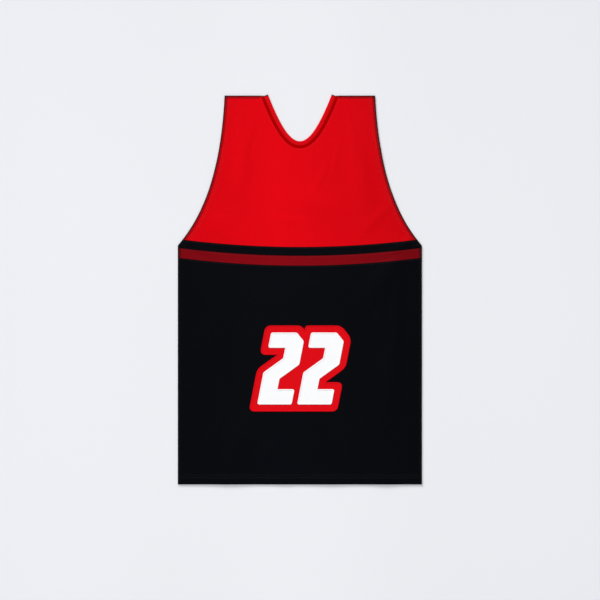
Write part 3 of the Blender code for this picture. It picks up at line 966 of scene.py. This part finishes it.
red_rib = strip_finish("red rib", (0.655, 0.0008, 0.0050), 0.66, RIB, 0.00012,
                       0.5 * NECKBAND_WIDTH - BAND_ROW)
dark_red_tape = strip_finish("dark red tape", (0.375, 0.0, 0.0002), 0.70, WEFT, 0.00005,
                             TAPE_ROW - 0.5 * TAPE_WIDTH, 0.0)
band_width = NECKBAND_WIDTH + 0.5 * SEAM
band_profile = soft_profile(sides=20, fullness=0.55, top=1.0)
band_strip = Strip("neckband", 0.0, band_width, band_profile,
                   np.full(len(band_profile), NECK_END))
tape_width = YOKE_OFFSET + TAPE_LAP - band_width
tape_profile = soft_profile(sides=16, fullness=0.35, top=0.86)
tape_strip = Strip("neck_tape", band_width, tape_width, tape_profile,
                   np.array([neck_turn_at(band_width + (0.5 + across) * tape_width, FOLD_REACH)
                             for across, _ in tape_profile]))
neck_ring(band_strip, red_rib, [tip_overlock([band_strip, tape_strip])])
neck_ring(tape_strip, dark_red_tape, [])


# ---- Number ----
# Two plain block figures of white twill on a red twill border, cut out and sewn on the
# body one on the other. Dense satin stitches cover the cut edges of each layer.

NUMBER_LEAN = math.tan(math.radians(11))
FIGURE_WIDTH = 0.0645
FIGURE_STEP = 0.0786
FIGURE_BORDER = 0.0138
FIGURE_CHAMFER = 0.016
BAR = 0.027  # level strokes of a figure
POST = 0.031  # upright strokes
DIAGONAL_LOW = 0.050  # where the slanting stroke leaves the lower post
DIAGONAL_HIGH = 0.078  # where its underside reaches the figure's side
TWILL = 0.0005  # thickness of a layer
TWILL_GRID = 0.006
TWILL_RIB = 0.0014  # pitch of the twill's ribs
TWILL_ROUGHNESS = 0.46
TWILL_RELIEF = 0.00006
SATIN_OUT = 0.0003  # from a layer's edge out to the middle of its satin stitches
SATIN_REACH = 0.0013  # their half width, and their height
SATIN_RISE = 0.00045
SATIN = [(SATIN_REACH * math.cos(turn) - SATIN_OUT, SATIN_RISE * math.sin(turn))
         for turn in np.linspace(0.0, math.pi, 7)] + [(-SATIN_OUT, -0.0002)]
CORNER_IN = 0.0025  # rounding of inner corners, and of outer ones
CORNER_BORDER = 0.010
CORNER_FIGURE = 0.0022


def figure_two():
    """Outline of a block figure two, from its lower left corner, as (across, up) pairs."""
    half = [(0.0, 0.0), (FIGURE_WIDTH, 0.0), (FIGURE_WIDTH, BAR), (POST, BAR),
            (POST, DIAGONAL_LOW), (FIGURE_WIDTH, DIAGONAL_HIGH)]
    turned = [(FIGURE_WIDTH - across, FIGURE_HEIGHT - up) for across, up in half[1:]]
    corner = [(FIGURE_WIDTH, FIGURE_HEIGHT - FIGURE_CHAMFER),
              (FIGURE_WIDTH - FIGURE_CHAMFER, FIGURE_HEIGHT)]
    return np.array(half + corner + turned)


def corners(outline):
    """Each corner of an outline, between the one before it and the one after it."""
    return zip(np.roll(outline, 1, axis=0), outline, np.roll(outline, -1, axis=0))


def outward(before, after):
    """The outward side at a corner between two edges, long enough to keep both parallel."""
    sides = [np.array([run[1], -run[0]]) / np.hypot(*run) for run in (before, after)]
    return (sides[0] + sides[1]) / (1.0 + sides[0] @ sides[1])


def grow(outline, by):
    """The outline with every side moved out, corners kept sharp."""
    return np.array([here + by * outward(here - before, after - here)
                     for before, here, after in corners(outline)])


def border_outline():
    """Outline of the border: the outer sides of both grown figures, with a dip between
    them where the left one's chamfer meets the right one's side."""
    grown = grow(figure_two(), FIGURE_BORDER)
    left, right = grown[7:], grown[1:9] + (FIGURE_STEP, 0.0)
    dip = (right[-1][0], left[0][1] - (right[-1][0] - left[0][0]))
    return np.vstack([grown[:1], right, [dip], left])


def placed(outline, shift):
    """A figure's outline as (out, down) places, leaning and centred on the number."""
    start = (NUMBER_OUT + shift
             - 0.5 * (FIGURE_WIDTH + FIGURE_STEP + NUMBER_LEAN * FIGURE_HEIGHT))
    return np.stack([start + outline[:, 0] + NUMBER_LEAN * outline[:, 1],
                     NUMBER_DOWN - outline[:, 1]], axis=1)


def rounded(outline, outer):
    """The outline with rounded corners, which start this far along an outer corner's sides."""
    soft = []
    for before, here, after in corners(outline):
        back, ahead = before - here, after - here
        turn = back[0] * ahead[1] - back[1] * ahead[0]
        reach = min(outer if turn > 0 else CORNER_IN,
                    0.45 * np.hypot(*back), 0.45 * np.hypot(*ahead))
        start = here + reach * back / np.hypot(*back)
        end = here + reach * ahead / np.hypot(*ahead)
        for share in np.linspace(0.0, 1.0, 9):
            soft.append((1 - share) ** 2 * start + 2 * share * (1 - share) * here
                        + share ** 2 * end)
    return np.array(soft)


def applied_cloth(part, outline):
    """A cut piece of twill that follows the front, lifted off it."""
    low, high = outline.min(axis=0), outline.max(axis=0)
    grid = np.stack(np.meshgrid(np.arange(low[0], high[0], TWILL_GRID),
                                np.arange(low[1], high[1], TWILL_GRID)), axis=-1).reshape(-1, 2)
    gap = nearest(np.vstack([outline, outline[:1]]), grid)
    places = np.vstack([outline, grid[gap > 0.3 * TWILL_GRID]])
    places, _, cells, *_ = delaunay_2d_cdt(places.tolist(), [], [range(len(outline))], 1, 1e-7)
    places, cells = np.array(places), np.array(cells)
    below = len(places)
    height = lie(places) + part.lift
    points = np.vstack([points_at(places, height + TWILL), points_at(places, height)])
    edges = np.vstack([cells[:, [0, 1]], cells[:, [1, 2]], cells[:, [2, 0]]])
    _, where, uses = np.unique(np.sort(edges, axis=1), axis=0, return_index=True,
                               return_counts=True)
    start, end = edges[where[uses == 1]].T
    sides = np.stack([end, start, start + below, end + below], axis=-1)
    faces = cells.tolist() + (cells[:, ::-1] + below).tolist() + sides.tolist()
    return cloth_piece(part.name + "_twill", points, faces, part.twill, {}, part.name)


def twill(name, paint):
    """Tackle twill: fine slanting ribs with a satin gloss."""
    material, shader, place = start_finish(name, TWILL_ROUGHNESS, 0.06)
    slant = place.part("X") + place.part("Y") * 0.8
    rib = (slant * (2 * math.pi / TWILL_RIB)).maths("SINE")
    blotch = place.noise(35.0)
    tone = 1.0 + 0.03 * rib + 0.03 * blotch
    rough = TWILL_ROUGHNESS + 0.06 * blotch + 0.03 * rib
    end_finish(shader, place, tone.colour(paint), rough, rib, TWILL_RELIEF)
    return material


WHITE = (0.905, 0.905, 0.905)
red_twill, white_twill = twill("red twill", RED), twill("white twill", WHITE)
red_satin, white_satin = [strip_finish(name + " satin stitches", paint, 0.40, LOOP_PITCH, 0.00008)
                          for name, paint in (("red", RED), ("white", WHITE))]

LAYER_GAP = 0.00005  # under the backing, and between it and a figure
Applied = namedtuple("Applied", "name outline corner lift twill satin slot rests_on")
figures = [Applied(name, placed(figure_two(), shift), CORNER_FIGURE, 2 * LAYER_GAP + TWILL,
                   white_twill, white_satin, "white_twill", "number_backing_twill")
           for name, shift in (("numeral_left", 0.0), ("numeral_right", FIGURE_STEP))]
backing = Applied("number_backing", placed(border_outline(), 0.0), CORNER_BORDER, LAYER_GAP,
                  red_twill, red_satin, "red_twill", "front_body_cloth")
for part in (backing, *figures):
    outline = rounded(part.outline, part.corner)
    piece = applied_cloth(part, outline)
    edge_piece = thread_ridge(part.name + "_edge", [outline[::-1]], True, SATIN, lie, 1,
                              part.lift + TWILL, part.satin)


# ---- Table, light and camera ----
# A large, smooth, pale table top carries the shirt. A slanting sun lamp gives the cloth
# its relief, and a long soft lamp and a pale room light the rest, seen from straight above.

TABLE_SIZE = 12.0
TABLE_DROP = 0.0001  # below the shirt
bpy.ops.object.select_all(action="DESELECT")
bpy.ops.mesh.primitive_plane_add(size=TABLE_SIZE, location=(0.0, 0.0, -TABLE_DROP))
table = bpy.context.object
table.name = "table"
TABLE_ROUGHNESS = 0.85
table_top, shader, place = start_finish("pale table", TABLE_ROUGHNESS, 0.1)
# Painted light: the table is painted lighter towards its sides, making up for the long overhead
# lamp's falloff.
from_middle = place.part("X").maths("ABSOLUTE")
tone = 1.0 + 0.14 * from_middle.ramp(0.15, 0.75) + 0.01 * place.noise(3.0)
end_finish(shader, place, tone.colour((0.785, 0.792, 0.812)),
           TABLE_ROUGHNESS + 0.05 * place.noise(20.0), place.noise(400.0), 0.00002)
table.data.materials.append(table_top)

scene = bpy.context.scene
LAMPS = (
    ("key_light", "SUN", (-1.0, 1.7, 0.9), (-1.0, 1.7, 0.9),
     {"energy": 2.5, "angle": math.radians(22)}),
    ("overhead_light", "AREA", (-0.05, 0.0, 1.1), (0.0, 0.0, 1.1),
     {"energy": 10.6, "shape": "RECTANGLE", "size": 0.4, "size_y": 3.2}),
)
for name, kind, at, aim, settings in LAMPS:
    lamp = bpy.data.lights.new(name, kind)
    for setting, value in settings.items():
        setattr(lamp, setting, value)
    holder = bpy.data.objects.new(name, lamp)
    holder.location = at
    holder.rotation_euler = Vector(aim).to_track_quat("Z", "Y").to_euler()
    scene.collection.objects.link(holder)

scene.world = bpy.data.worlds.new("studio")
scene.world.use_nodes = True
room = scene.world.node_tree.nodes["Background"].inputs
room["Color"].default_value = (0.93, 0.95, 1.0, 1.0)
room["Strength"].default_value = 0.36
scene.view_settings.view_transform = "Standard"

lens = bpy.data.cameras.new("camera")
lens.lens = 100.0
camera = bpy.data.objects.new("camera", lens)
camera.location = (0.0003, -0.0208, 3.282)
scene.collection.objects.link(camera)
scene.camera = camera
